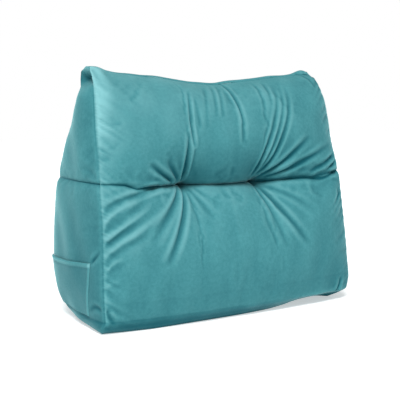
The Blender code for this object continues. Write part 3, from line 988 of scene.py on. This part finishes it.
# %% The pocket
POCKET_FOOT_FRONT = -0.062
POCKET_MOUTH_FRONT = -0.074
POCKET_BACK_SHARE = 0.955
POCKET_FOOT = 0.028
MOUTH_FRONT_HEIGHT = 0.135
MOUTH_BACK_HEIGHT = 0.123
MOUTH_SAG = 0.005
POCKET_SHEET = 0.0014
POCKET_GRID = (76, 60)
HEM_WIDTH = 0.0085
HEM_THICKNESS = 0.0016
HEM_CRISPNESS = 14
EDGE_WIDTH = 0.0050
EDGE_THICKNESS = 0.0009
EDGE_CRISPNESS = 8
ROUNDING = 0.0012
ROUNDED_OFF = 0.7
MOUTH_LIFT = 0.0018
MOUTH_LIFT_REACH = 0.014
CLEARANCE = 0.0003
SLOPE_STEP = 0.004
# Painted light on the pocket: its body is painted darker, its hem and front edge paler as
# highlights.
POCKET_PAINTED_SHADE, HEM_PAINTED_HIGHLIGHT, EDGE_PAINTED_HIGHLIGHT = -0.82, 0.85, 1.15


def gusset_point(y, z):
    """A point of the finished left gusset at a depth and height: a mix of its four neighbours."""
    seam = section(z, "front_seam")
    deep = 2*(y - seam)/(section(z, "back_seam") - seam) - 1
    up = 2*z/TOP_HEIGHT - 1
    grid = finished_skin[skin_grids[0]]
    rows, columns_up = halved(coarse_lines[1]), halved(coarse_lines[2])
    i = np.clip(np.searchsorted(rows, deep) - 1, 0, len(rows) - 2)
    j = np.clip(np.searchsorted(columns_up, up) - 1, 0, len(columns_up) - 2)
    s = ((deep - rows[i])/(rows[i + 1] - rows[i]))[:, None]
    t = ((up - columns_up[j])/(columns_up[j + 1] - columns_up[j]))[:, None]
    near = (1 - t)*grid[i, j] + t*grid[i, j + 1]
    far = (1 - t)*grid[i + 1, j] + t*grid[i + 1, j + 1]
    return (1 - s)*near + s*far


def gusset_outwards(y, z):
    """The gusset's outward direction, from the cross product of its two slopes."""
    slope_y = gusset_point(y + SLOPE_STEP, z) - gusset_point(y - SLOPE_STEP, z)
    slope_z = gusset_point(y, z + SLOPE_STEP) - gusset_point(y, z - SLOPE_STEP)
    outwards = np.cross(slope_y, slope_z)
    outwards = outwards/np.linalg.norm(outwards, axis=1)[:, None]
    return outwards*np.sign(-outwards[:, :1])


def pocket_places(along, rise):
    """Depth and height on the gusset of a point of the pocket, each share from 0 to 1."""
    mouth = MOUTH_FRONT_HEIGHT + (MOUTH_BACK_HEIGHT - MOUTH_FRONT_HEIGHT)*along
    mouth = mouth - MOUTH_SAG*np.sin(np.pi*along)
    z = POCKET_FOOT + (mouth - POCKET_FOOT)*rise
    seam = section(z, "front_seam")
    back = seam + (section(z, "back_seam") - seam)*(1 + POCKET_BACK_SHARE)/2
    front = POCKET_FOOT_FRONT + (POCKET_MOUTH_FRONT - POCKET_FOOT_FRONT)*rise
    return front + (back - front)*np.sin(np.pi*along/2), z


def pocket_surface(box):
    """The gusset moved out by the gap, then by the cloth, and where the hem and the edge lie."""
    along, rise, out = (box.T + 1)/2
    y, z = pocket_places(along, rise)
    from_foot = z - pocket_places(along, np.zeros_like(rise))[1]
    from_mouth = pocket_places(along, np.ones_like(rise))[1] - z
    from_front = y - pocket_places(np.zeros_like(along), rise)[0]
    edge = np.minimum(np.minimum(from_mouth, from_front), from_foot)
    on_hem = soft_step(from_mouth, HEM_WIDTH, HEM_WIDTH/HEM_CRISPNESS)
    on_edge = soft_step(from_front, EDGE_WIDTH, EDGE_WIDTH/EDGE_CRISPNESS)
    cloth = POCKET_SHEET + HEM_THICKNESS*on_hem + EDGE_THICKNESS*on_edge
    rounded = 1 - ROUNDED_OFF*np.exp(-(edge/ROUNDING)**2)
    gap = MOUTH_LIFT*np.exp(-(from_mouth/MOUTH_LIFT_REACH)**2)*np.sqrt(np.sin(np.pi*along))
    off = CLEARANCE + gap + out*cloth*rounded
    return gusset_point(y, z) + off[:, None]*gusset_outwards(y, z), on_hem, on_edge


pocket_lines = [np.linspace(-1, 1, POCKET_GRID[0] + 1), crowded(-1, 1, POCKET_GRID[1])]
pocket_box, pocket_quads, _ = box_skin([*pocket_lines, np.array([-1.0, 1.0])])
pocket_points, on_hem, on_edge = pocket_surface(pocket_box)
pocket_quads = pocket_quads[:, ::-1]
pocket = make_piece("patch_pocket", pocket_points, pocket_quads)
# The pocket's painted shade and painted highlights.
add_shade(pocket, "painted_light", POCKET_PAINTED_SHADE + HEM_PAINTED_HIGHLIGHT*on_hem + EDGE_PAINTED_HIGHLIGHT*on_edge)
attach(pocket, "root")
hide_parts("pocket")
print("pocket:", len(pocket.data.polygons), "quads")

# %% [markdown]
# Shader maths reads best as sums and products. The class below wraps a node's socket and
# overloads the operators, so that an expression such as 1 - mask builds its own Math nodes.

# %% Sockets that can be added and multiplied


class Value:
    """A shader socket that does arithmetic by making Math nodes."""

    def __init__(self, tree, socket):
        self.tree = tree
        self.socket = socket

    def node(self, kind, settings=None, inputs=None, output=0):
        """A new node of a kind, its settings set first, then its sockets' values or links."""
        made = self.tree.nodes.new(kind)
        for name, setting in (settings or {}).items():
            setattr(made, name, setting)
        for name, given in (inputs or {}).items():
            if isinstance(given, Value):
                self.tree.links.new(given.socket, made.inputs[name])
            else:
                made.inputs[name].default_value = given
        return Value(self.tree, made.outputs[output])

    def math(self, operation, first, second):
        """One Math node on two values."""
        return self.node("ShaderNodeMath", {"operation": operation}, {0: first, 1: second})

    def __add__(self, other):
        return self.math("ADD", self, other)

    def __radd__(self, other):
        return self.math("ADD", other, self)

    def __sub__(self, other):
        return self.math("SUBTRACT", self, other)

    def __rsub__(self, other):
        return self.math("SUBTRACT", other, self)

    def __mul__(self, other):
        return self.math("MULTIPLY", self, other)

    def __rmul__(self, other):
        return self.math("MULTIPLY", other, self)

    def attribute(self, name):
        """A number that the piece's own points carry."""
        return self.node("ShaderNodeAttribute", {"attribute_name": name}, output=2)

    def noise(self, scale, detail):
        """A noise over this place, from 0 to 1."""
        inputs = {"Vector": self, "Scale": scale, "Detail": detail}
        return self.node("ShaderNodeTexNoise", {}, inputs)

    def mixed(self, first, second):
        """The first colour where this share is 0 and the second where it is 1."""
        inputs = {0: self, 6: first, 7: second}
        return self.node("ShaderNodeMix", {"data_type": "RGBA"}, inputs, output=2)

    def clamped(self):
        """The value held between 0 and 1."""
        return self.node("ShaderNodeClamp", {}, {"Value": self})

    def ramp(self, low, high):
        """0 below low and 1 above high, smooth between."""
        return self.node(
            "ShaderNodeMapRange",
            {"interpolation_type": "SMOOTHSTEP"},
            {"Value": self, "From Min": low, "From Max": high},
        )


print("a Value knows:", [name for name in vars(Value) if not name.startswith("__")])

# %% [markdown]
# Velvet is a short pile on a woven back. Its tips catch light that skims the surface, so edges
# and turned folds glow, and its colour shifts where the nap has been stroked. Sheen gives the
# glow, slow noise gives the strokes, and a fine grain gives the pile. The numbers kept on the
# points then paint highlight and shade into the colour, and a noise drawn out along the seams
# paints the short light and dark streaks of their pinches, and bumps them too.

# %% The velvet
TEAL_LIGHT = (0.070, 0.285, 0.312, 1.0)
TEAL_DARK = (0.045, 0.215, 0.242, 1.0)
# Painted highlight and painted shade colours, mixed in where the painted light numbers say.
PAINTED_HIGHLIGHT_TEAL = (0.220, 0.520, 0.550, 1.0)
PAINTED_SHADE_TEAL = (0.004, 0.098, 0.125, 1.0)
PAINTED_HIGHLIGHT_GAIN, PAINTED_SHADE_GAIN = 0.55, -0.75
# Three noises make the nap: scale, detail, the two values of the ramp, and the share.
STROKES = (30.0, 4.0, 0.30, 0.70, 0.35)
MOTTLE = (150.0, 3.0, 0.30, 0.70, 0.40)
SPECKLE = (420.0, 2.0, 0.25, 0.75, 0.25)
STROKE_STRETCH = (1.0, 1.0, 0.45)
PILE_SCALE, PILE_DETAIL, PILE_BUMP = 900.0, 2.0, 0.15
STREAK_SLANT = 0.55
STREAK_PACE = 120.0
STREAK_DRIFT = 25.0
STREAK_RAMP = (0.32, 0.68)
STREAK_PAINTED_LIGHT = 0.45
STREAK_BUMP = 1.0
BUMP_DISTANCE = 0.001
ROUGHEST, NAP_SMOOTHING = 0.92, 0.12
VELVET_SURFACE = {
    "Specular IOR Level": 0.15,
    "Sheen Weight": 0.6,
    "Sheen Roughness": 0.35,
    "Sheen Tint": (0.50, 0.92, 0.95, 1.0),
}


def painted(name, surface):
    """A material, its node tree and its Principled shader, with the surface's values set."""
    material = bpy.data.materials.new(name)
    material.use_nodes = True
    tree = material.node_tree
    shader = tree.nodes["Principled BSDF"]
    for socket, value in surface.items():
        shader.inputs[socket].default_value = value
    return material, tree, shader


def nap_part(place, scale, detail, low, high, share):
    """One noise of the nap: ramped, then times its share."""
    return place.noise(scale, detail).ramp(low, high)*share


def velvet(name):
    """A Principled shader with sheen, stroked colour with painted light and shade, and a fine pile.
    """
    material, tree, shader = painted(name, VELVET_SURFACE)
    start = Value(tree, None)
    place = start.node("ShaderNodeTexCoord", output=3)
    drawn_out = {"Vector": place, "Scale": STROKE_STRETCH}
    stretched = start.node("ShaderNodeMapping", {}, drawn_out)
    nap = nap_part(stretched, *STROKES) + nap_part(place, *MOTTLE) + nap_part(place, *SPECKLE)
    # Streaks beside the seams: painted light and shade of the pinches in the colour, and a bump.
    up_seam, off_seam = start.attribute("up_seam"), start.attribute("off_seam")
    slanted = (up_seam + off_seam*STREAK_SLANT)*STREAK_PACE
    beside = {"X": slanted, "Y": off_seam*STREAK_DRIFT}
    streaks = start.node("ShaderNodeCombineXYZ", {}, beside).noise(1.0, 2.0)
    streak = (streaks.ramp(*STREAK_RAMP) - 0.5)*start.attribute("pinch")
    painted_light = start.attribute("painted_light") + streak*STREAK_PAINTED_LIGHT
    colour = nap.mixed(TEAL_DARK, TEAL_LIGHT)
    # Painted highlight, then painted shade, mixed into the velvet's own colour.
    colour = (painted_light*PAINTED_HIGHLIGHT_GAIN).clamped().mixed(colour, PAINTED_HIGHLIGHT_TEAL)
    colour = (painted_light*PAINTED_SHADE_GAIN).clamped().mixed(colour, PAINTED_SHADE_TEAL)
    height = place.noise(PILE_SCALE, PILE_DETAIL)*PILE_BUMP + streak*STREAK_BUMP
    raised = {"Height": height, "Strength": 1.0, "Distance": BUMP_DISTANCE}
    bump = start.node("ShaderNodeBump", {}, raised)
    tree.links.new(colour.socket, shader.inputs["Base Color"])
    tree.links.new((ROUGHEST - NAP_SMOOTHING*nap).socket, shader.inputs["Roughness"])
    tree.links.new(bump.socket, shader.inputs["Normal"])
    return material


teal_velvet = velvet("teal_velvet")
cushion.data.materials.append(teal_velvet)
pocket.data.materials.append(teal_velvet)
print("nodes in the velvet:", len(teal_velvet.node_tree.nodes))

# %% [markdown]
# The camera stands a little to the left of the front and just above it, about two metres off,
# with a longish lens, so that the near side isn't stretched.

# %% The camera
CAMERA_TURN, CAMERA_RISE = 32.0, 7.1
CAMERA_DISTANCE = 1.93
CAMERA_AIM = np.array([-0.012, 0.010, 0.230])
CAMERA_LENS = 79.9


def looking(turn, rise):
    """Which way something looks that stands turn degrees left of the front and rise degrees up."""
    turn, rise = np.radians(turn), np.radians(rise)
    return np.array([np.sin(turn)*np.cos(rise), np.cos(turn)*np.cos(rise), -np.sin(rise)])


towards = looking(CAMERA_TURN, CAMERA_RISE)
camera_data = bpy.data.cameras.new("camera")
camera_data.lens = CAMERA_LENS
camera = bpy.data.objects.new("camera", camera_data)
camera.location = CAMERA_AIM + shift - CAMERA_DISTANCE*towards
camera.rotation_euler = Vector(towards).to_track_quat("-Z", "Y").to_euler()
bpy.context.scene.collection.objects.link(camera)
bpy.context.scene.camera = camera
print("camera at:", [round(value, 3) for value in camera.location])

# %% [markdown]
# The light is a pale studio: a bright world and a wide soft key from the upper left, as far off
# as a sun, so that it whitens the whole floor and leaves only the shadow at the cushion's foot.
# The floor glows faintly itself, which pales that shadow as a white studio's walls would.

# %% The floor and the light
FLOOR_SIZE = 12.0
AMBIENT = 0.33
FLOOR_SURFACE = {
    "Base Color": (0.80, 0.80, 0.80, 1),
    "Roughness": 0.9,
    "Specular IOR Level": 0.0,
    "Emission Color": (1, 1, 1, 1),
    "Emission Strength": 0.48,
}
KEY_LIGHT = {"turn": 38, "rise": 58, "width": 24, "strength": 2.85}
floor_mesh = bpy.data.meshes.new("floor")
corner = FLOOR_SIZE/2
floor_mesh.from_pydata(
    [(-corner, -corner, 0), (corner, -corner, 0), (corner, corner, 0), (-corner, corner, 0)],
    [],
    [(0, 1, 2, 3)],
)
floor = bpy.data.objects.new("floor", floor_mesh)
bpy.context.scene.collection.objects.link(floor)
floor_mesh.materials.append(painted("pale_floor", FLOOR_SURFACE)[0])


def far_light(name, turn, rise, width, strength):
    """A wide, distant lamp, placed by degrees left of the front and degrees up."""
    data = bpy.data.lights.new(name, "SUN")
    data.angle = np.radians(width)
    data.energy = strength
    light = bpy.data.objects.new(name, data)
    light.rotation_euler = Vector(looking(turn, rise)).to_track_quat("-Z", "Y").to_euler()
    bpy.context.scene.collection.objects.link(light)
    return light


far_light("key", **KEY_LIGHT)
world = bpy.data.worlds.new("studio")
world.use_nodes = True
sky = world.node_tree.nodes["Background"]
sky.inputs["Color"].default_value = (1, 1, 1, 1)
start = Value(world.node_tree, None)
seen = start.node("ShaderNodeLightPath")
world.node_tree.links.new((AMBIENT + (1 - AMBIENT)*seen).socket, sky.inputs["Strength"])
bpy.context.scene.world = world
bpy.context.scene.view_settings.view_transform = "Standard"

# %% [markdown]
# The dressed cushion has to keep the solids' size.
